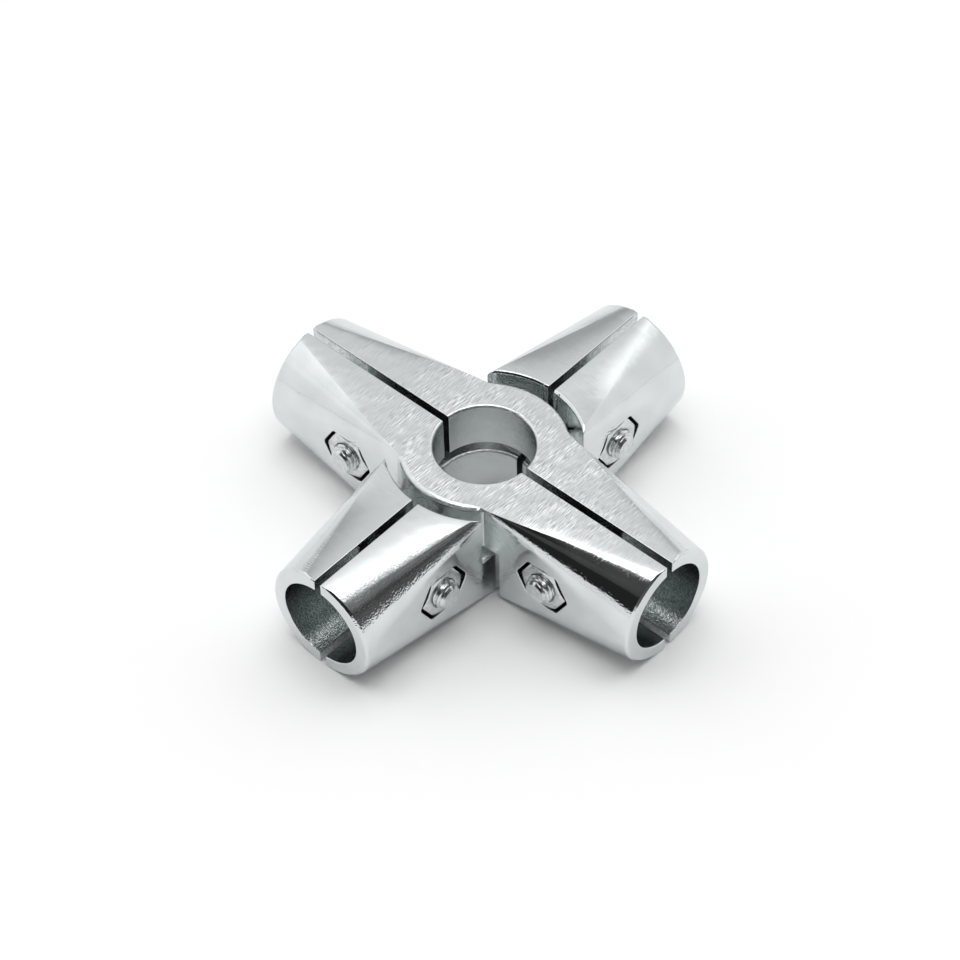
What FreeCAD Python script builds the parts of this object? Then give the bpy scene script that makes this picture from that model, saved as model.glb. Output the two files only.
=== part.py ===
import FreeCAD, Part
import math
import os

# Cross tube connector: two clamp pairs nested by a half lap round one hub.
# The upper pair has its arms along X and its ring in the top half of the height.
# The lower pair is the same casting turned over and turned a quarter, with its arms along Y.
# Millimetres, +Z up, origin on the hub axis in the resting plane.

# Tube sockets and arms
socket_radius = 12.5
socket_depth = 18.0
socket_wall = 3.5
socket_floor = 1.85
mouth_flat = 4.0
mouth_flank = 1.2
root_half_width = 17.0
mouth_chamfer = 0.5
root_round = 1.3
slit = 2.0

# Hub
hub_radius = 13.5
hub_chamfer = 0.5
ring_wall = 9.2
ring_gap = 3.0
ring_chamfer = 0.9
lap_gap = 3.4
lap_chamfer = 0.6

# Clamp bolts and nuts
bolt_diameter = 8.0
bolt_chamfer = 0.8
bolt_proud = 2.7
across_flats = 13.0
head_height = 5.3
nut_height = 6.5
nut_seat = 10.4
bolt_wall = 3.95
pocket_clearance = 0.25
pocket_half_length = 8.6
pocket_round = 1.5
hole_clearance = 0.5
thread_clearance = 0.1

# Worked out from the sizes above
half_height = socket_radius + socket_wall
arm_radius = math.hypot(half_height, mouth_flat)
mouth_half_width = math.sqrt(arm_radius ** 2 - mouth_flank ** 2)
ring_radius = hub_radius + ring_wall
ring_face = ring_gap / 2
root_distance = ring_radius * math.cos(math.radians(45))
lap_radius = ring_radius + lap_gap
bolt_radius = bolt_diameter / 2
pocket_flats = across_flats + 2 * pocket_clearance
pocket_stretch = pocket_half_length - pocket_flats / math.sqrt(3)
hole_radius = bolt_radius + hole_clearance
bolt_distance = lap_radius + bolt_wall + hole_radius
arm_reach = bolt_distance + pocket_half_length + socket_floor + socket_depth
bolt_length = 2 * nut_seat + nut_height + bolt_proud
past = arm_radius
same_place = 1e-6

centre = FreeCAD.Vector(0, 0, 0)
x_axis = FreeCAD.Vector(1, 0, 0)
y_axis = FreeCAD.Vector(0, 1, 0)
z_axis = FreeCAD.Vector(0, 0, 1)


def turned(shape, axis, degrees):
    copy = shape.copy()
    copy.rotate(centre, axis, degrees)
    return copy


def moved(shape, x=0, y=0, z=0):
    copy = shape.copy()
    copy.translate(FreeCAD.Vector(x, y, z))
    return copy


def polygon_face(points):
    return Part.Face(Part.makePolygon(points + points[:1]))


def spun(outline):
    # Solid of revolution about Z from (radius, height) points
    points = [FreeCAD.Vector(radius, 0, height) for radius, height in outline]
    return polygon_face(points).revolve(centre, z_axis, 360)


def hexagon(flats, height, stretch=0):
    # Hexagonal prism up Z, with two of its corners on X and pulled apart along X
    corner = flats / math.sqrt(3)
    points = []
    for side in range(6):
        angle = math.radians(60 * side)
        x = corner * math.cos(angle)
        points.append(FreeCAD.Vector(x + math.copysign(stretch, x), corner * math.sin(angle), 0))
    return polygon_face(points).extrude(z_axis * height)


def corner_tool():
    # What lies between the square corner of an arm and the cone that rounds it
    # The cone starts near the ring and touches a ball as wide as the mouth
    mouth = FreeCAD.Vector(arm_reach, 0, 0)
    taper = arm_radius / (arm_radius - root_round)
    start = arm_reach - (arm_reach - root_distance) * taper
    apex = FreeCAD.Vector(start, arm_radius + (root_half_width - mouth_half_width) * taper, arm_radius)
    axis = mouth - apex
    length = 2 * axis.Length
    cone = Part.makeCone(0, length * math.tan(math.asin(arm_radius / axis.Length)), length, apex, axis)
    cone.rotate(apex, axis, 180)
    across = [y_axis * 0, z_axis, y_axis + z_axis, y_axis]
    rim = [apex + (mouth + side * (2 * arm_radius) - apex) * 2 for side in across]
    sides = [polygon_face([apex, rim[i - 1], rim[i]]) for i in range(4)]
    wedge = Part.Solid(Part.Shell(sides + [polygon_face(rim)]))
    return wedge.cut(cone)


def arm_blank():
    # Bar for both arms, square at the ring and rounded towards the mouths
    quarter = [(arm_reach, mouth_half_width), (root_distance, root_half_width)]
    plan = quarter + [(-x, y) for x, y in reversed(quarter)]
    plan += [(-x, -y) for x, y in plan]
    base = polygon_face([FreeCAD.Vector(x, y, -half_height) for x, y in plan])
    tools = [corner_tool()]
    for axis in (x_axis, y_axis, z_axis):
        tools += [tool.mirror(centre, axis) for tool in tools]
    return base.extrude(z_axis * 2 * half_height).cut(tools)


def ring_blank():
    return spun([
        (0, ring_face), (ring_radius, ring_face), (ring_radius, half_height - ring_chamfer),
        (ring_radius - ring_chamfer, half_height), (0, half_height),
    ])


def hub_tool():
    wide = hub_radius + hub_chamfer
    return spun([
        (0, ring_face), (wide, ring_face), (hub_radius, ring_face + hub_chamfer),
        (hub_radius, half_height - hub_chamfer), (wide, half_height), (0, half_height),
    ])


def lap_tool():
    # Clears the other pair's ring from the half of the arms that it passes through
    wide = lap_radius + lap_chamfer
    return spun([
        (0, -half_height), (wide, -half_height), (lap_radius, -half_height + lap_chamfer),
        (lap_radius, ring_face), (0, ring_face),
    ])


def socket_tool():
    # Socket, with the chamfer round the outside of its mouth
    socket = Part.makeCylinder(socket_radius, socket_depth, z_axis * (arm_reach - socket_depth))
    wide = arm_radius + mouth_chamfer
    rim = spun([
        (arm_radius - mouth_chamfer, arm_reach), (wide, arm_reach - 2 * mouth_chamfer), (wide, arm_reach),
    ])
    return turned(Part.makeCompound([socket, rim]), y_axis, 90)


def fastener_tool():
    # Bolt hole and the hexagonal pocket at its end, along Y and out through the front flank
    hole = Part.makeCylinder(hole_radius, nut_seat, centre, z_axis)
    pocket = hexagon(pocket_flats, past, pocket_stretch)
    corners = [edge for edge in pocket.Edges if abs(edge.Length - past) < same_place]
    pocket = moved(pocket.makeFillet(pocket_round, corners), z=nut_seat)
    return moved(turned(hole.fuse(pocket), x_axis, 90), x=bolt_distance)


def half_shell():
    # Front half of the upper pair, about the arm axis
    blank = arm_blank().fuse(ring_blank())
    cuts = [hub_tool(), lap_tool()]
    for tool in (socket_tool(), fastener_tool()):
        cuts.append(tool)
        cuts.append(tool.mirror(centre, x_axis))
    length = 2 * (arm_reach + past)
    behind = Part.makeBox(length, length, length)
    cuts.append(moved(behind, -length / 2, -slit / 2, -length / 2))
    return blank.cut(cuts).removeSplitter()


def hex_bolt():
    # Head seated at height zero, shank pointing down
    shank = spun([
        (0, 0), (bolt_radius, 0), (bolt_radius, bolt_chamfer - bolt_length),
        (bolt_radius - bolt_chamfer, -bolt_length), (0, -bolt_length),
    ])
    return hexagon(across_flats, head_height).fuse(shank).removeSplitter()


def hex_nut():
    # Seated at height zero
    return hexagon(across_flats, nut_height).cut(Part.makeCylinder(bolt_radius + thread_clearance, nut_height))


def upper_to_lower(shape):
    return turned(turned(shape, x_axis, 180), z_axis, 90)


def connector():
    front = half_shell()
    rear = turned(front, z_axis, 180)
    pieces = {
        "upper_front_half": front,
        "upper_rear_half": rear,
        "lower_left_half": upper_to_lower(front),
        "lower_right_half": upper_to_lower(rear),
    }
    bolt = moved(turned(hex_bolt(), x_axis, -90), y=nut_seat)
    nut = moved(turned(hex_nut(), x_axis, 90), y=-nut_seat)
    for kind, fastener in (("bolt", bolt), ("nut", nut)):
        for place, side in (("left", -1), ("right", 1)):
            pieces[f"upper_{place}_{kind}"] = moved(fastener, x=side * bolt_distance)
        quarter = turned(fastener, z_axis, 90)
        for place, side in (("front", -1), ("rear", 1)):
            pieces[f"lower_{place}_{kind}"] = moved(quarter, y=side * bolt_distance)
    return {name: moved(piece, z=half_height) for name, piece in pieces.items()}


os.makedirs("parts", exist_ok=True)
for name, piece in connector().items():
    piece.exportStep(f"parts/{name}.step")
    print(name, "valid" if piece.isValid() else "INVALID", len(piece.Solids), round(piece.Volume))
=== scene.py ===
import math
import bpy
import bmesh
from mathutils import Matrix, Vector


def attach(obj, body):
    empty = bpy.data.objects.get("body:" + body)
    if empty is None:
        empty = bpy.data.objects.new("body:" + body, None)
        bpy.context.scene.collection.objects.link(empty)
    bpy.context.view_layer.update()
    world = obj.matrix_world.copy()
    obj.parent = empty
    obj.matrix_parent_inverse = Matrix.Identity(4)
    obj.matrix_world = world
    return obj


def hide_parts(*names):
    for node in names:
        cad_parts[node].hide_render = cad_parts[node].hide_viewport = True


# Chromed cross tube connector: four castings in two nested clamp pairs, closed by bolts and nuts.
# Everything is in metres in the frame of the solids; sizes below are written in millimetres.

mm = 0.001

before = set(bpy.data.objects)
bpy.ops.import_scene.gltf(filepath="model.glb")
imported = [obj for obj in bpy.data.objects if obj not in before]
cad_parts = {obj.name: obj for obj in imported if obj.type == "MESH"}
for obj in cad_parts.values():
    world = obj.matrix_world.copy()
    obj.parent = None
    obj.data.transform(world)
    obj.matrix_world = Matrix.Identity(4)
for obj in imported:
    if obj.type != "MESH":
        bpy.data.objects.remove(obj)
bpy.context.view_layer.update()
scene = bpy.context.scene
scene.view_settings.view_transform = "Standard"
print("solids loaded:", len(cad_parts))


def linear(hexColour):  # sRGB hex to linear RGBA
    channels = [int(hexColour[i:i + 2], 16) / 255 for i in (1, 3, 5)]
    return [c / 12.92 if c <= 0.04045 else ((c + 0.055) / 1.055) ** 2.4 for c in channels] + [1.0]


def addNode(tree, kind, inputs=(), stops=(), **settings):  # one node, with inputs by name or in their order
    node = tree.nodes.new(kind)
    for name, value in settings.items():
        setattr(node, name, value)
    for name, value in inputs.items() if isinstance(inputs, dict) else enumerate(inputs):
        if isinstance(value, bpy.types.Node):
            value = value.outputs[0]
        if isinstance(value, bpy.types.NodeSocket):
            tree.links.new(value, node.inputs[name])
        else:
            node.inputs[name].default_value = value
    if stops:  # places and colours of a ramp
        elements = node.color_ramp.elements
        for place, colour in stops[1:-1]:
            elements.new(place).color = colour
        for end in (0, -1):
            elements[end].position, elements[end].color = stops[end]
    return node


def newMaterial(name):
    material = bpy.data.materials.new(name)
    material.use_nodes = True
    tree = material.node_tree
    tree.nodes.clear()
    return material, tree


def finishMaterial(tree, surface):
    shader = addNode(tree, "ShaderNodeBsdfPrincipled", surface)
    addNode(tree, "ShaderNodeOutputMaterial", {"Surface": shader})


casting = {
    "axisHeight": 16.0,                    # arm axis above the floor, mm
    "reach": 63.0,                         # hub axis to mouth
    "apex": (12.0340, 17.0909, 16.4924),   # of the cone that rounds each arm corner
    "ball": 16.4924,                       # radius of the ball that the cone touches at the mouth
    "mouthFlat": 4.0,                      # half width of the flats at the mouth
    "mouthRim": (1.4, 15.0),               # depth of the rim behind the mouth, and its least radius
    "slit": 1.0,                           # half width
    "socket": (12.5, 18.0, 0.3),           # radius, depth and width of the polished rim
    "ring": (22.7, 0.9, 18.0),             # radius, chamfer, and half width of what stands clear of the arms
    "notch": (13.0, 16.3, 16.0, 0.4),      # where ring and arm meet: from and to along X, from along Y, depth
    "pocket": (34.55, 8.6, 6.75, 16.4),    # distance from the hub axis, half length, half width and outer end
    "rounds": {"ring": 0.55, "mouth": 0.22, "slit": 0.22, "edge": 0.22},   # widths of the rounded edges
}


def onArm(tree, turn):  # place in mm from the middle of the hub, with X along the arms
    place = addNode(tree, "ShaderNodeTexCoord")
    return addNode(tree, "ShaderNodeMapping",
                   {"Vector": place.outputs["Object"], "Location": (0, 0, casting["axisHeight"] * mm),
                    "Rotation": (0, 0, math.radians(turn)), "Scale": (mm, mm, mm)},
                   vector_type="TEXTURE")


def alongArm(tree, spot):  # place folded into one corner, its X, Y and Z, and 0 at the cone to 1 at the mouth
    folded = addNode(tree, "ShaderNodeVectorMath", [spot], operation="ABSOLUTE")
    apart = addNode(tree, "ShaderNodeSeparateXYZ", [folded])
    share = addNode(tree, "ShaderNodeMapRange", (apart.outputs["X"], casting["apex"][0], casting["reach"]),
                    clamp=False)
    share = addNode(tree, "ShaderNodeMath", (share, 0.05), operation="MAXIMUM")  # never down to 0
    return folded, apart, share


def stretched(tree, spot, sizes, turn=0.0, detail=1.0):  # noise round zero, with its size in mm for each axis
    grid = addNode(tree, "ShaderNodeMapping",
                   {"Vector": spot, "Rotation": (0, 0, math.radians(turn)), "Scale": sizes},
                   vector_type="TEXTURE")
    noise = addNode(tree, "ShaderNodeTexNoise", {"Vector": grid, "Scale": 1.0, "Detail": detail})
    return addNode(tree, "ShaderNodeMath", (noise.outputs["Fac"], 0.5), operation="SUBTRACT")


def bumped(tree, layers):  # normal under layers of height, each with its depth in mm
    normal = None
    for layer, depth in layers:
        inputs = {"Height": layer, "Distance": depth * mm, "Strength": 1.0}
        if normal:
            inputs["Normal"] = normal
        normal = addNode(tree, "ShaderNodeBump", inputs)
    return normal


# How far each clamp pair was ground and polished; its first arm is the left or front one
pairLooks = {
    "upper": {
        "turn": 0,                  # of the arms from X, degrees
        "grain": (0.004, 0.045),    # depth of the casting grain on the two arms, mm
        "hollow": 0.065,            # mean slope of the belt's hollow beside the flats
        "marks": 1.0,               # share of the grinding marks that is left
        "crown": (0.07, 5.0),       # half the slope of the flats at their rims, and the power of their fall
        "wave": 0.16,               # depth of the unevenness of the flats, mm
        "bend": 0.0,                # four times the depth of the bend in the second arm's flat, mm
    },
    "lower": {
        "turn": 90,
        "grain": (0.13, 0.01),
        "hollow": 0.015,
        "marks": 0.12,
        "crown": (0.125, 2.0),
        "wave": 0.07,
        "bend": -1.6,
    },
}

chromeLooks = {
    "plate": "#DDE1E1",             # bright chrome, a little cool
    "plateDull": "#D2D7D7",         # where the polish is thinner
    "dullSpread": (-0.2, 0.2),      # part of the waves over which one turns into the other
    "wave": (9.0, 0.24),            # spacing and depth of the hand polishing waves, mm
    "ripple": (60.0, 2.4, 0.07),    # length along the arm, width and depth of the polishing ripples, mm
    "corners": (97.0, 53.0, 31.0),  # shift of the ripples that makes no two corners alike, mm
    "mark": (0.35, 1.8, 0.05),      # polishing marks round the arm: width, length and depth, mm;
                                    # drawn coarser than the real ones, which are too fine to show
    "markFade": (11.6, 14.6),       # height at the mouth over which the marks grow towards the flats, mm
    "grain": 0.55,                  # casting grain that shows through the plating, mm
    "grainStart": (7.0, 9.0),       # height at the mouth over which the grain begins above the flanks, mm
    "grainFade": (10.5, 12.5),      # and over which it goes again, mm
    "grainLeft": (0.15, 0.2),       # share of it below and above
    "grainArm": (-8.0, 8.0),        # place along the arms between one arm's grain and the other's, mm
    "hollow": (10.5, 4.0),          # distance from the middle at the mouth from and to which it is hollow, mm
    "rough": (0.05, 0.09),          # on the flanks, and by the flats
}


def polishedChrome(pair):  # plated over a polished die casting: a mirror with ripples, grain and marks
    look, own = chromeLooks, pairLooks[pair]
    material, tree = newMaterial("polished_chrome_" + pair)
    spot = onArm(tree, own["turn"])
    folded, apart, share = alongArm(tree, spot)
    signed = addNode(tree, "ShaderNodeSeparateXYZ", [spot])

    # Where the line from the cone's point through the place comes out at the mouth
    fromApex = addNode(tree, "ShaderNodeVectorMath", (folded, casting["apex"]), operation="SUBTRACT")
    spread = addNode(tree, "ShaderNodeMath", (1.0, share), operation="DIVIDE")
    fanned = addNode(tree, "ShaderNodeVectorMath", {0: fromApex, "Scale": spread}, operation="SCALE")
    mouthPlace = addNode(tree, "ShaderNodeVectorMath", (fanned, casting["apex"]), operation="ADD")
    mouthApart = addNode(tree, "ShaderNodeSeparateXYZ", [mouthPlace])
    height = mouthApart.outputs["Z"]

    wave = stretched(tree, spot, [look["wave"][0]] * 3)
    sides = addNode(tree, "ShaderNodeVectorMath", [spot], operation="SIGN")
    laid = addNode(tree, "ShaderNodeCombineXYZ", (apart.outputs["X"], mouthApart.outputs["Y"], height))
    moved = addNode(tree, "ShaderNodeVectorMath", (sides, look["corners"], laid), operation="MULTIPLY_ADD")
    rippleLength, rippleWidth, rippleDepth = look["ripple"]
    ripple = stretched(tree, moved, (rippleLength, rippleWidth, rippleWidth))

    below, above = look["grainLeft"]
    begun = addNode(tree, "ShaderNodeMapRange", (height, *look["grainStart"], below, 1.0))
    gone = addNode(tree, "ShaderNodeMapRange", (height, *look["grainFade"], 1.0, above))
    band = addNode(tree, "ShaderNodeMath", (begun, gone), operation="MULTIPLY")
    depth = addNode(tree, "ShaderNodeMapRange", (signed.outputs["X"], *look["grainArm"], *own["grain"]))
    depth = addNode(tree, "ShaderNodeMath", (band, depth), operation="MULTIPLY")
    grain = stretched(tree, spot, [look["grain"]] * 3)
    pits = addNode(tree, "ShaderNodeMath", (grain, depth), operation="MULTIPLY")

    outer, inner = look["hollow"]
    belt = addNode(tree, "ShaderNodeMapRange", (mouthApart.outputs["Y"], outer, inner, 0.0, outer - inner),
                   interpolation_type="SMOOTHERSTEP")
    markWidth, markLength, markDepth = look["mark"]
    strokes = stretched(tree, spot, (markWidth, markLength, markLength))
    grown = addNode(tree, "ShaderNodeMapRange", (height, *look["markFade"]))
    marks = addNode(tree, "ShaderNodeMath", (strokes, grown), operation="MULTIPLY")

    tone = addNode(tree, "ShaderNodeMapRange", (wave, *look["dullSpread"]))
    colour = addNode(tree, "ShaderNodeValToRGB", [tone],
                     stops=((0.0, linear(look["plateDull"])), (1.0, linear(look["plate"]))))
    rough = addNode(tree, "ShaderNodeMapRange", (height, *look["markFade"], *look["rough"]))
    normal = bumped(tree, ((belt, own["hollow"]), (wave, look["wave"][1]), (ripple, rippleDepth), (pits, 1.0),
                           (marks, markDepth)))
    finishMaterial(tree, {"Base Color": colour, "Metallic": 1.0, "Roughness": rough, "Normal": normal})
    return material


groundLooks = {
    "dark": "#A2A8A9",              # shaded side of the grinding marks
    "plate": "#D3D7D7",
    "bright": "#FFFFFF",            # lit side
    "long": (0.32, 7.0, 1000.0),    # width, length and height of the long grinding marks, mm
    "short": (0.22, 2.6, 1000.0),   # and of the short ones; both are drawn coarser than the real ones,
                                    # which are too fine to show
    "longTone": (0.02, 0.18, 0.0, 0.5),       # part of the noise that shows, and the tone that it gives
    "shortTone": (-0.12, 0.12, -0.35, 0.3),
    "fan": 9.0,                     # degrees between long and short marks
    "fade": (36.0, 58.0, 0.15),     # distance from the hub where they are polished away, mm, and share left
    "worn": (-38.0, -18.0, 0.25),   # place along the arms below which they are worn, mm, and share left
    "patches": (-0.12, 0.12, 0.3, 1.0),       # part of the unevenness over which the marks come and go
    "wave": 5.0,                    # spacing of the unevenness of the flats, mm
    "bend": (22.0, 58.0),           # place along the rear arm from which to which its flat is bent, mm
    "crownStart": (16.0, 44.0),     # distance from the hub over which the crown of the flats begins, mm
    "depth": 0.008,                 # of the marks, mm
    "rough": (0.10, 0.24),          # where polished, and where the marks are left
}


def groundChrome(pair):  # belt-ground flats, plated over: satin strokes across the arms
    look, own = groundLooks, pairLooks[pair]
    material, tree = newMaterial("ground_chrome_" + pair)
    spot = onArm(tree, own["turn"])
    apart, share = alongArm(tree, spot)[1:]
    signed = addNode(tree, "ShaderNodeSeparateXYZ", [spot])

    longMarks = stretched(tree, spot, look["long"], -0.5 * look["fan"], 2.0)
    longTone = addNode(tree, "ShaderNodeMapRange", (longMarks, *look["longTone"]))
    shortMarks = stretched(tree, spot, look["short"], 0.5 * look["fan"])
    shortTone = addNode(tree, "ShaderNodeMapRange", (shortMarks, *look["shortTone"]))
    both = addNode(tree, "ShaderNodeMath", (longTone, shortTone), operation="ADD")
    patch = stretched(tree, spot, [look["wave"]] * 3)
    start, end, faded = look["fade"]
    polished = addNode(tree, "ShaderNodeMapRange",
                       (apart.outputs["X"], start, end, own["marks"], faded * own["marks"]))
    worst, best, wornLeft = look["worn"]
    worn = addNode(tree, "ShaderNodeMapRange", (signed.outputs["X"], worst, best, wornLeft, 1.0))
    fade = addNode(tree, "ShaderNodeMath", (polished, worn), operation="MULTIPLY")
    patchy = addNode(tree, "ShaderNodeMapRange", (patch, *look["patches"]))
    kept = addNode(tree, "ShaderNodeMath", (patchy, fade), operation="MULTIPLY")
    amount = addNode(tree, "ShaderNodeMath", (both, kept), operation="MULTIPLY")
    tone = addNode(tree, "ShaderNodeMath", (amount, 0.5), operation="ADD")
    colour = addNode(tree, "ShaderNodeValToRGB", [tone],
                     stops=[(place, linear(look[key])) for place, key in
                            ((0.0, "dark"), (0.5, "plate"), (1.0, "bright"))])

    # The crown: the flats fall away towards their rims, which close in from ring to mouth
    crown, power = own["crown"]
    rim = addNode(tree, "ShaderNodeMapRange", (share, 0.0, 1.0, casting["apex"][1], casting["mouthFlat"]),
                  clamp=False)
    outward = addNode(tree, "ShaderNodeMath", (apart.outputs["Y"], rim), operation="DIVIDE")
    fall = addNode(tree, "ShaderNodeMath", (outward, power), operation="POWER")
    fall = addNode(tree, "ShaderNodeMath", (fall, rim), operation="MULTIPLY")
    begun = addNode(tree, "ShaderNodeMapRange", (apart.outputs["X"], *look["crownStart"], 0.0, -2.0 / power),
                    interpolation_type="SMOOTHERSTEP")
    fall = addNode(tree, "ShaderNodeMath", (fall, begun), operation="MULTIPLY")
    away = addNode(tree, "ShaderNodeMapRange", (signed.outputs["X"], *look["bend"], -0.5, 0.5))
    bent = addNode(tree, "ShaderNodeMath", (away, 2.0), operation="POWER")

    rough = addNode(tree, "ShaderNodeMapRange", (kept, 0.0, 1.0, *look["rough"]))
    normal = bumped(tree, ((fall, crown), (bent, own["bend"]), (patch, own["wave"]), (amount, look["depth"])))
    finishMaterial(tree, {"Base Color": colour, "Metallic": 1.0, "Roughness": rough, "Normal": normal})
    return material


# Unpolished die-cast walls under thin plating: speckled grain, and in the pockets a much darker colour that
# is painted shade for the shadow down in them
castGrainAndPocketShadeLooks = {
    "socket": {"light": "#DCE1E1", "dark": "#A9AFAF", "depth": 0.10, "rough": (0.24, 0.12)},
    "slit": {"light": "#D6DADA", "dark": "#A9AFAF", "depth": 0.03, "rough": (0.28, 0.15)},
    # painted shade: the pocket walls are coloured far darker than the other cast walls to stand for the
    # shadow in the pockets; the speckles and roughness are the as-cast grain
    "pocket": {"light": "#7B8081", "dark": "#4A4E4F", "depth": 0.05, "rough": (0.5, 0.35)},
    "grain": {"size": 0.6, "detail": 3.0, "spread": (0.35, 0.6)},   # as-cast grain, mm
}

# Cold-formed steel, zinc plated: soft satin with the cloudy mottle of the plating's crystals
zincLooks = {
    "light": "#DDDFDF",
    "dark": "#C3C7C8",
    "depth": 0.005,
    "rough": (0.27, 0.16),
    "size": 1.4,                # of the mottle, mm
    "detail": 4.0,
    "spread": (0.35, 0.65),     # part of the noise over which dark turns into light
}


def speckledMetal(name, look):  # spots of two tones, the light ones raised and smoother
    material, tree = newMaterial(name)
    place = addNode(tree, "ShaderNodeTexCoord")
    spots = addNode(tree, "ShaderNodeTexNoise", {"Vector": place.outputs["Object"], "Detail": look["detail"],
                                                 "Scale": 1 / (look["size"] * mm)}).outputs["Fac"]
    low, high = look["spread"]
    colour = addNode(tree, "ShaderNodeValToRGB", [spots],
                     stops=((low, linear(look["dark"])), (high, linear(look["light"]))))
    rough = addNode(tree, "ShaderNodeMapRange", (spots, 0.0, 1.0, *look["rough"]))
    normal = bumped(tree, [(spots, look["depth"])])
    finishMaterial(tree, {"Base Color": colour, "Metallic": 1.0, "Roughness": rough, "Normal": normal})
    return material


polished = {pair: polishedChrome(pair) for pair in pairLooks}
ground = {pair: groundChrome(pair) for pair in pairLooks}
castGrainAndPocketShade = {place: speckledMetal("cast_grain_and_pocket_shade_chrome_" + place, {**castGrainAndPocketShadeLooks["grain"], **castGrainAndPocketShadeLooks[place]})
          for place in ("socket", "slit", "pocket")}
zinc = speckledMetal("zinc_plated_steel", zincLooks)
print("materials made")


def onlySelect(piece):
    if bpy.context.object and bpy.context.object.mode != "OBJECT":
        bpy.ops.object.mode_set(mode="OBJECT")
    bpy.ops.object.select_all(action="DESELECT")
    piece.select_set(True)
    bpy.context.view_layer.objects.active = piece


def selectWhere(piece, kind, wanted):  # the faces or edges that pass a test, in edit mode
    bpy.ops.object.mode_set(mode="EDIT")
    bpy.ops.mesh.select_all(action="DESELECT")
    bpy.ops.object.mode_set(mode="OBJECT")
    for item in piece.data.polygons if kind == "FACE" else piece.data.edges:
        item.select = wanted(item)
    bpy.ops.object.mode_set(mode="EDIT")
    bpy.ops.mesh.select_mode(type=kind)


def addModifier(piece, kind, **settings):
    onlySelect(piece)
    modifier = piece.modifiers.new(kind.lower(), kind)
    for name, value in settings.items():
        setattr(modifier, name, value)
    bpy.ops.object.modifier_apply(modifier=modifier.name)


meshing = {
    "doubles": 0.002,       # that are merged in the solid's mesh, mm
    "flatAngle": 0.05,      # least angle between two planes, degrees
    "runOut": 0.06,         # size of the mouth chamfer's last facet, at the slit, mm
    "offCone": 0.012,       # most that the solid's facets are off their cone, mm
    "cuts": 3,              # of the edges on the cones
    "shift": 0.4,           # most that a vertex moves on to its cone, mm
    "sliver": 0.004,        # length of the edges that are closed up last, mm
    "near": 0.05,           # what counts as on a plane, mm
    "ringNear": 0.1,        # and as on the ring's chamfer
    "level": 0.999,         # up or down part of a normal that counts as level
    "roundAngle": 33.0,     # least angle of an edge that polishing has rounded, degrees
    "sharpAngle": 35.0,     # least angle of an edge that is shaded as sharp
    "broad": 60.0,          # area from which a face is flat out to its rims, mm2
}


def coneStep(point):  # how far a point is off the nearest corner cone, and the way out of it
    centre = Vector((0, 0, casting["axisHeight"] * mm))
    offset = point - centre
    signs = Vector([math.copysign(1, value) for value in offset])
    folded = Vector([abs(value) for value in offset])
    apex = Vector(casting["apex"]) * mm
    axis = Vector((casting["reach"] * mm, 0, 0)) - apex
    lean = math.asin(casting["ball"] * mm / axis.length)
    axis.normalize()
    along = (folded - apex).dot(axis)
    outward = folded - apex - axis * along
    away = outward.length * math.cos(lean) - along * math.sin(lean)
    way = outward.normalized() * math.cos(lean) - axis * math.sin(lean)
    return away, Vector([a * b for a, b in zip(way, signs)])


def onCone(face):
    most = meshing["offCone"] * mm
    if abs(face.normal.z) > 0.995 or any(abs(coneStep(vert.co)[0]) > most for vert in face.verts):
        return False  # one of the flats, or off the cone
    return face.normal.dot(coneStep(face.calc_center_median())[1]) > 0.9


def edgeRound(edge):  # how much polishing has rounded an edge, 0 where it runs out smoothly
    if len(edge.link_faces) != 2 or edge.calc_face_angle() < math.radians(meshing["roundAngle"]):
        return 0.0
    if any(face.material_index == 1 for face in edge.link_faces) \
            and any(abs(face.normal.z) > meshing["level"] for face in edge.link_faces):
        return 0.0
    rounds = casting["rounds"]
    radius, chamfer, clear = casting["ring"]
    rimDepth, rimRadius = casting["mouthRim"]
    notchFrom, notchTo, notchOut, notchDepth = casting["notch"]
    near, ringNear = meshing["near"], meshing["ringNear"]
    top = 2 * casting["axisHeight"]
    spots = [vert.co / mm for vert in edge.verts]
    if any(notchFrom < abs(spot.x) < notchTo and spot.y < -notchOut and spot.z > top - chamfer - notchDepth
           for spot in spots):
        return 0.0  # too tight a corner
    if all(math.hypot(spot.x, spot.y) > radius - chamfer - ringNear and spot.z > top - chamfer - ringNear
           and abs(spot.x) < clear for spot in spots):
        return rounds["ring"]
    if all(abs(spot.x) > casting["reach"] - rimDepth
           and math.hypot(spot.y, spot.z - casting["axisHeight"]) > rimRadius for spot in spots):
        return rounds["mouth"]
    if all(abs(spot.y + casting["slit"]) < near and not near < spot.z < top - near for spot in spots):
        return rounds["slit"]
    return rounds["edge"]


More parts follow.
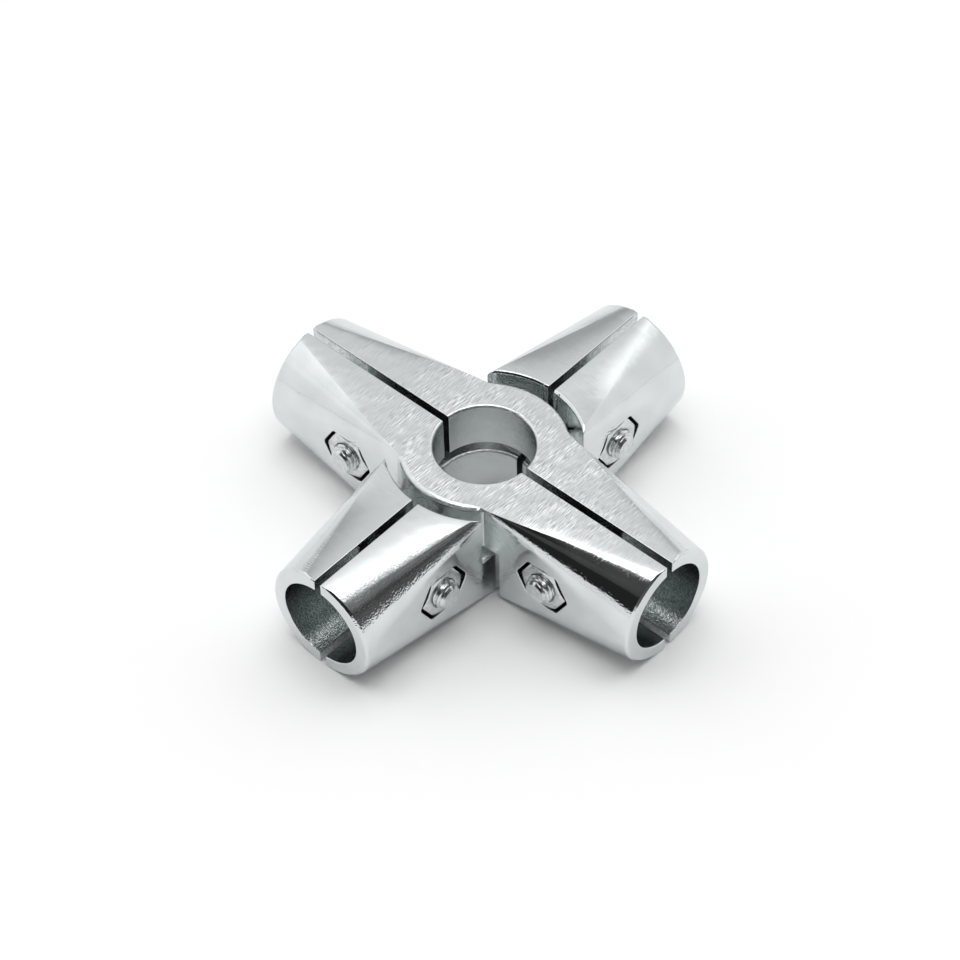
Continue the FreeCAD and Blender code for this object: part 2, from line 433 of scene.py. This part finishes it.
def castingBlank():  # the solid's mesh with rounded edges; slot 1 marks the corner cones and 2 the edges
    piece = bpy.data.objects.new("upper_front_casting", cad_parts["upper_front_half"].data.copy())
    scene.collection.objects.link(piece)
    for slot in range(3):
        piece.data.materials.append(None)
    onlySelect(piece)
    bpy.ops.mesh.customdata_custom_splitnormals_clear()
    bpy.ops.object.mode_set(mode="EDIT")
    bpy.ops.mesh.select_all(action="SELECT")
    bpy.ops.mesh.remove_doubles(threshold=meshing["doubles"] * mm)
    bpy.ops.mesh.dissolve_limited(angle_limit=math.radians(meshing["flatAngle"]))
    bpy.ops.object.mode_set(mode="OBJECT")

    shape = bmesh.new()
    shape.from_mesh(piece.data)
    for side in (1, -1):  # the mouth's chamfer runs out to nothing at the slit
        for height in (0, 2 * casting["axisHeight"]):
            corner = Vector((side * casting["reach"], -casting["slit"], height)) * mm
            last = [vert for vert in shape.verts if (vert.co - corner).length < meshing["runOut"] * mm]
            bmesh.ops.pointmerge(shape, verts=last, merge_co=corner)
    shape.normal_update()
    for face in shape.faces:
        face.material_index = 1 if onCone(face) else 0
    weight = shape.edges.layers.float.new("bevel_weight_edge")
    largest = max(casting["rounds"].values())
    for edge in shape.edges:
        edge[weight] = edgeRound(edge) / largest
    shape.to_mesh(piece.data)
    shape.free()
    addModifier(piece, "BEVEL", limit_method="WEIGHT", width=largest * mm, segments=3,
                use_clamp_overlap=False, loop_slide=True, miter_outer="MITER_SHARP", material=2)
    return piece


def layOnCones(piece):  # fine mesh on the conical corners, laid exactly on their cones
    shape = bmesh.new()
    shape.from_mesh(piece.data)
    shape.normal_update()
    patch = [face for face in shape.faces if face.material_index == 1]
    patch = bmesh.ops.triangulate(shape, faces=patch)["faces"]
    edges = list({edge for face in patch for edge in face.edges})
    bmesh.ops.subdivide_edges(shape, edges=edges, cuts=meshing["cuts"], use_grid_fill=True)
    shape.normal_update()
    inside = {face for face in shape.faces if face.material_index == 1}
    for vert in {vert for face in inside for vert in face.verts}:
        others = [face.normal for face in vert.link_faces if face not in inside]
        for turn in range(3):
            away, way = coneStep(vert.co)
            if others:  # a vertex on the rim slides in the neighbouring face
                beside = sum(others, Vector()).normalized()
                slide = way - beside * way.dot(beside)
                if slide.length < 0.05:  # the cone lies along the face
                    continue
                step = slide * (away / slide.length_squared)
            else:
                step = way * away
            if step.length < meshing["shift"] * mm:
                vert.co -= step
    for vert in shape.verts:  # no corner of the rounding stands proud of the casting
        vert.co.x = max(-casting["reach"] * mm, min(casting["reach"] * mm, vert.co.x))
        vert.co.z = max(0, min(2 * casting["axisHeight"] * mm, vert.co.z))
    bmesh.ops.remove_doubles(shape, verts=shape.verts, dist=meshing["sliver"] * mm)
    bmesh.ops.dissolve_degenerate(shape, edges=shape.edges, dist=meshing["sliver"] * mm)
    shape.faces.index_update()
    corners = [face.index for face in shape.faces if face.material_index == 1]
    shape.to_mesh(piece.data)
    shape.free()
    print("corner cones:", len(corners), "faces")
    return corners


def shadeCasting(piece, corners):  # exact normals on the cones and on the broad faces
    onlySelect(piece)
    bpy.ops.object.shade_smooth_by_angle(angle=math.radians(meshing["sharpAngle"]))
    addModifier(piece, "WEIGHTED_NORMAL", keep_sharp=True, weight=60)
    normals = [corner.vector.copy() for corner in piece.data.corner_normals]
    for index in corners:
        for corner in piece.data.polygons[index].loop_indices:
            normals[corner] = coneStep(piece.data.vertices[piece.data.loops[corner].vertex_index].co)[1]
    for face in piece.data.polygons:
        if face.area > meshing["broad"] * mm * mm:
            for corner in face.loop_indices:
                normals[corner] = face.normal.copy()
    piece.data.normals_split_custom_set(normals)
    addModifier(piece, "TRIANGULATE", min_vertices=5, keep_custom_normals=True)


def paintCasting(piece):  # which finish each face has
    finishes = (polished["upper"], ground["upper"], castGrainAndPocketShade["socket"], castGrainAndPocketShade["slit"], castGrainAndPocketShade["pocket"])
    piece.data.materials.clear()
    for material in finishes:
        piece.data.materials.append(material)
    near, reach = meshing["near"], casting["reach"]
    radius, depth, rim = casting["socket"]
    distance, halfLength, halfWidth, outerEnd = casting["pocket"]
    slitSkin = -casting["slit"] - near
    for face in piece.data.polygons:
        spot = face.center / mm
        fromAxis = math.hypot(spot.y, spot.z - casting["axisHeight"])
        onEnd = not near < spot.z < 2 * casting["axisHeight"] - near
        inSocket = reach - depth - rim < abs(spot.x) < reach - rim and fromAxis < radius + near
        inPocket = abs(abs(spot.x) - distance) < halfLength + near and -outerEnd < spot.y < slitSkin \
            and abs(spot.z - casting["axisHeight"]) < halfWidth + near
        face.material_index = 0
        if onEnd and abs(face.normal.z) > meshing["level"]:
            face.material_index = 1
        elif inSocket:
            face.material_index = 2
        elif spot.y > slitSkin:
            face.material_index = 3
        elif inPocket:
            # the pocket walls take the finish with the painted shade
            face.material_index = 4


centreLift = Matrix.Translation((0, 0, casting["axisHeight"] * mm))
halfTurn = Matrix.Rotation(math.pi, 4, "Z")
quarterTurn = Matrix.Rotation(math.pi / 2, 4, "Z")
turnOver = centreLift @ quarterTurn @ Matrix.Rotation(math.pi, 4, "X") @ centreLift.inverted()
places = {
    "upper_rear": halfTurn,
    "lower_left": turnOver,
    "lower_right": turnOver @ halfTurn,
}


def makeCastings():
    master = castingBlank()
    corners = layOnCones(master)
    shadeCasting(master, corners)
    paintCasting(master)
    pieces = {"upper_front": master}
    for place, turn in places.items():
        mesh = master.data.copy()
        mesh.transform(turn)
        if place.startswith("lower"):
            mesh.materials[0] = polished["lower"]
            mesh.materials[1] = ground["lower"]
        piece = bpy.data.objects.new(place + "_casting", mesh)
        scene.collection.objects.link(piece)
        pieces[place] = piece
    for place, piece in pieces.items():
        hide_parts(place + "_half")
        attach(piece, "root")
    print("castings made:", len(master.data.polygons), "faces each")


makeCastings()

fastener = {
    "flats": 13.0,              # across flats, mm
    "nutHeight": 6.5,
    "headHeight": 5.3,
    "crown": (6.1, 0.8),        # radius of the bearing circle and height of the crown at the corners
    "overhang": 0.3,            # of the turned blank past the corners
    "bore": 4.06,               # radius
    "countersink": 0.45,
    "shank": 4.0,               # radius
    "length": 30.0,
    "pitch": 1.25,
    "threadDepth": 0.62,
    "threadFlank": (1.35, 0.12),  # steepness of the flanks, and how wide the root is
    "threadRings": (14, 13),    # cuts along the shank, one after the other
    "plain": 0.5,               # length under the head with no thread
    "end": (3.0, 1.2),          # radius of the flat end and height of its chamfer
    "round": (0.12, 25.0),      # width of the rounded edges, and their least angle in degrees
    "distance": 34.55,          # of the bolts from the hub axis
    "seat": 10.4,               # of heads and nuts from the slit's middle
}


def addCylinder(sides, radius, bottom, top, turn=0.0):
    bpy.ops.object.select_all(action="DESELECT")
    bpy.ops.mesh.primitive_cylinder_add(vertices=sides, radius=radius * mm, depth=(top - bottom) * mm,
                                        location=(0, 0, (top + bottom) / 2 * mm), rotation=(0, 0, turn))
    bpy.ops.object.transform_apply(location=True, rotation=True)
    return bpy.context.object


def cutWith(piece, tool, operation):
    addModifier(piece, "BOOLEAN", operation=operation, object=tool, solver="EXACT")
    bpy.data.objects.remove(tool)


def breakEdges(piece):
    width, angle = fastener["round"]
    addModifier(piece, "BEVEL", limit_method="ANGLE", angle_limit=math.radians(angle), width=width * mm,
                segments=2, use_clamp_overlap=True)


def hexagonBlank(name, height, crownBothEnds):  # hexagon with turned, crowned ends
    corner = fastener["flats"] / math.sqrt(3)
    flatRadius, crown = fastener["crown"]
    turnedRadius = corner + fastener["overhang"]
    hexagon = addCylinder(6, corner, 0, height, math.pi / 2)
    hexagon.name = name
    turned = addCylinder(96, turnedRadius, crown if crownBothEnds else -crown, height - crown)
    for up in (1, -1) if crownBothEnds else (1,):
        selectWhere(turned, "FACE", lambda face: face.normal.z * up > 0.9)
        bpy.ops.mesh.inset(thickness=(turnedRadius - flatRadius) * mm, depth=crown * mm)
        bpy.ops.object.mode_set(mode="OBJECT")
    cutWith(hexagon, turned, "INTERSECT")
    return hexagon


def nutMaster():
    bore, sink, height = fastener["bore"], fastener["countersink"], fastener["nutHeight"]
    nut = hexagonBlank("nut_master", height, True)
    drill = addCylinder(64, bore, sink, height - sink)
    for up in (1, -1):
        selectWhere(drill, "FACE", lambda face: face.normal.z * up > 0.9)
        bpy.ops.mesh.extrude_region_move(TRANSFORM_OT_translate={"value": (0, 0, up * 2 * sink * mm)})
        spread = 1 + 2 * sink / bore
        bpy.ops.transform.resize(value=(spread, spread, 1), center_override=(0, 0, 0))
        bpy.ops.object.mode_set(mode="OBJECT")
    cutWith(nut, drill, "DIFFERENCE")
    breakEdges(nut)
    onlySelect(nut)
    bpy.ops.object.shade_smooth_by_angle(angle=math.radians(30))
    return nut


def boltMaster():
    length, shank = fastener["length"], fastener["shank"]
    bolt = addCylinder(64, shank, -length, 0)
    bolt.name = "bolt_master"

    def upright(edge):
        low, high = (bolt.data.vertices[i].co.z for i in edge.vertices)
        return abs(low - high) > 0.01 * mm

    for cuts in fastener["threadRings"]:
        selectWhere(bolt, "EDGE", upright)
        bpy.ops.mesh.subdivide(number_cuts=cuts)
        bpy.ops.object.mode_set(mode="OBJECT")
    endRadius, endChamfer = fastener["end"]
    steepness, root = fastener["threadFlank"]
    for vert in bolt.data.vertices:  # rolled thread, running out on the end chamfer
        angle = math.atan2(vert.co.y, vert.co.x) / (2 * math.pi)
        turn = (vert.co.z / (fastener["pitch"] * mm) + angle) % 1
        flank = min(1, max(0, abs(2 * turn - 1) * steepness - root))
        radius = shank - fastener["threadDepth"] * (1 - flank)
        fromEnd = vert.co.z / mm + length
        radius = min(radius, endRadius + fromEnd * (shank - endRadius) / endChamfer)
        if vert.co.z > -fastener["plain"] * mm:
            radius = shank
        flat = Vector((vert.co.x, vert.co.y, 0))
        if flat.length > 0:
            flat = flat.normalized() * radius * mm
        vert.co.x, vert.co.y = flat.x, flat.y
    head = hexagonBlank("bolt_head", fastener["headHeight"], False)
    breakEdges(head)
    onlySelect(bolt)
    head.select_set(True)
    bpy.ops.object.join()
    bpy.ops.object.shade_smooth_by_angle(angle=math.radians(40))
    return bolt


def makeFasteners():
    seat, distance = fastener["seat"] * mm, fastener["distance"] * mm
    masters = {
        "nut": (nutMaster(), Matrix.Translation((0, -seat, 0)) @ Matrix.Rotation(math.pi / 2, 4, "X")),
        "bolt": (boltMaster(), Matrix.Translation((0, seat, 0)) @ Matrix.Rotation(-math.pi / 2, 4, "X")),
    }
    spots = {
        "upper_left": Matrix.Translation((-distance, 0, 0)),
        "upper_right": Matrix.Translation((distance, 0, 0)),
        "lower_front": Matrix.Translation((0, -distance, 0)) @ quarterTurn,
        "lower_rear": Matrix.Translation((0, distance, 0)) @ quarterTurn,
    }
    for kind, (master, lay) in masters.items():
        for spot, move in spots.items():
            mesh = master.data.copy()
            mesh.transform(centreLift @ move @ lay)
            mesh.materials.clear()
            mesh.materials.append(zinc)
            piece = bpy.data.objects.new(f"{spot}_{kind}_zinc", mesh)
            scene.collection.objects.link(piece)
            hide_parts(f"{spot}_{kind}")
            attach(piece, "root")
        print(kind, "made:", len(master.data.polygons), "faces each")
        bpy.data.objects.remove(master)


makeFasteners()

studio = {
    "floor": "#FEFEFE",
    "floorSize": 8.0,          # metres
    "floorDrop": 0.02,         # below the connector, mm
    "fibre": (3.0, 0.004),     # size and depth of the paper's fibre, mm
    # brightness of the white tent by degrees above the floor: behind the connector, to the left and right of
    # it, and left and right of the camera, where the tent is open on a dark room
    "back": ((0, 0.95), (10, 0.93), (18, 0.5), (26, 0.5), (40, 0.8), (50, 0.92), (58, 1.15), (66, 1.6),
             (74, 2.0), (90, 2.0)),
    "leftSide": ((0, 0.95), (10, 0.97), (25, 1.02), (36, 1.2), (56, 1.3), (64, 0.9), (69, 0.9), (75, 2.0),
                 (90, 2.0)),
    "rightSide": ((0, 0.95), (10, 0.93), (38, 0.93), (45, 1.2), (51, 1.5), (68, 1.5), (75, 2.0), (90, 2.0)),
    "leftFront": ((0, 0.93), (8, 0.93), (12, 0.02), (38, 0.02), (46, 0.06), (56, 0.08), (62, 0.16), (68, 0.7),
                  (72, 1.3), (76, 2.0), (90, 2.0)),
    "rightFront": ((0, 0.93), (0.5, 0.93), (3, 0.12), (24, 0.11), (31, 0.06), (36, 0.07), (43, 0.16),
                   (51, 0.24), (58, 0.5), (65, 1.0), (74, 2.0), (90, 2.0)),
    # level direction of each side, and the cosines to it at which the side begins and is full
    "towards": {
        "right": ((0.688, 0.725, 0), -0.25, 0.25),
        "back": ((-0.688, 0.725, 0), 0.82, 0.95),
        "front": ((0.725, -0.688, 0), 0.08, 0.2),
    },
    "lamp": (5.3, 1.1, 1.5),   # power in watts, width and height above the floor in metres
}


def makeFloor():  # matt white paper: no gloss, a faint fibre
    bpy.ops.object.select_all(action="DESELECT")
    bpy.ops.mesh.primitive_plane_add(size=studio["floorSize"], location=(0, 0, -studio["floorDrop"] * mm))
    floor = bpy.context.object
    floor.name = "paper_floor"
    material, tree = newMaterial("matt_white_paper")
    size, depth = studio["fibre"]
    place = addNode(tree, "ShaderNodeTexCoord")
    fibre = addNode(tree, "ShaderNodeTexNoise", {"Vector": place.outputs["Object"], "Scale": 1 / (size * mm)})
    normal = bumped(tree, [(fibre.outputs["Fac"], depth)])
    finishMaterial(tree, {"Base Color": linear(studio["floor"]), "Roughness": 0.8, "Specular IOR Level": 0.1,
                          "Normal": normal})
    floor.data.materials.append(material)


def makeTent():
    world = bpy.data.worlds.new("white_tent")
    scene.world = world
    world.use_nodes = True
    tree = world.node_tree
    tree.nodes.clear()
    place = addNode(tree, "ShaderNodeTexCoord")
    way = addNode(tree, "ShaderNodeSeparateXYZ", [place.outputs["Generated"]])
    level = addNode(tree, "ShaderNodeVectorMath", (place.outputs["Generated"], (1, 1, 0)),
                    operation="MULTIPLY")
    compass = addNode(tree, "ShaderNodeVectorMath", [level], operation="NORMALIZE")

    tent = {}
    for side in ("back", "leftSide", "rightSide", "leftFront", "rightFront"):
        stops = [(math.sin(math.radians(degrees)), (bright, bright, bright, 1))
                 for degrees, bright in studio[side]]
        tent[side] = addNode(tree, "ShaderNodeValToRGB", [way.outputs["Z"]], stops=stops)
    towards = {}
    for side, (direction, begins, full) in studio["towards"].items():
        facing = addNode(tree, "ShaderNodeVectorMath", (compass, direction), operation="DOT_PRODUCT")
        towards[side] = addNode(tree, "ShaderNodeMapRange", (facing.outputs["Value"], begins, full))
    right = towards["right"]
    front = addNode(tree, "ShaderNodeMapRange", (right, 0.0, 1.0, tent["leftFront"], tent["rightFront"]))
    beside = addNode(tree, "ShaderNodeMapRange", (right, 0.0, 1.0, tent["leftSide"], tent["rightSide"]))
    behind = addNode(tree, "ShaderNodeMapRange", (towards["back"], 0.0, 1.0, beside, tent["back"]))
    light = addNode(tree, "ShaderNodeMapRange", (towards["front"], 0.0, 1.0, behind, front))
    path = addNode(tree, "ShaderNodeLightPath")
    seen = addNode(tree, "ShaderNodeMath", (light, path.outputs["Is Camera Ray"]), operation="MAXIMUM")
    background = addNode(tree, "ShaderNodeBackground", {"Color": (1, 1, 1, 1), "Strength": seen})
    addNode(tree, "ShaderNodeOutputWorld", {"Surface": background})

    power, width, height = studio["lamp"]
    lamp = bpy.data.lights.new("softbox", "AREA")
    lamp.size = width
    lamp.energy = power
    softbox = bpy.data.objects.new("softbox", lamp)
    softbox.location = (0, 0, height)
    scene.collection.objects.link(softbox)


makeFloor()
makeTent()
print("studio made")

view = {
    "azimuth": 43.18,           # degrees
    "elevation": 48.24,
    "roll": -1.52,
    "distance": 906.8,          # mm
    "target": (0, 1.44, 16.0),  # point looked at, mm
    "aside": (-2.38, 0.48),     # of the picture's middle from it, right and up, mm
    "lens": 128.74,             # focal length, mm
    "frameWidth": 36,           # mm
    "nearest": 0.05,            # what is closer is not drawn, metres
}


def makeCamera():
    azimuth, elevation, roll = (math.radians(view[key]) for key in ("azimuth", "elevation", "roll"))
    across = Vector((math.cos(azimuth), math.sin(azimuth), 0))
    back = Vector((math.sin(azimuth) * math.cos(elevation), -math.cos(azimuth) * math.cos(elevation),
                   math.sin(elevation)))
    up = back.cross(across)
    right = across * math.cos(roll) + up * math.sin(roll)
    top = up * math.cos(roll) - across * math.sin(roll)
    eye = back * view["distance"] + right * view["aside"][0] + top * view["aside"][1]
    eye += Vector(view["target"])
    lens = bpy.data.cameras.new("camera")
    lens.sensor_width = view["frameWidth"]
    lens.lens = view["lens"]
    lens.clip_start = view["nearest"]
    camera = bpy.data.objects.new("camera", lens)
    turn = Matrix((right, top, back)).transposed().to_4x4()
    camera.matrix_world = Matrix.Translation(eye * mm) @ turn
    scene.collection.objects.link(camera)
    scene.camera = camera
    print("camera made")


makeCamera()
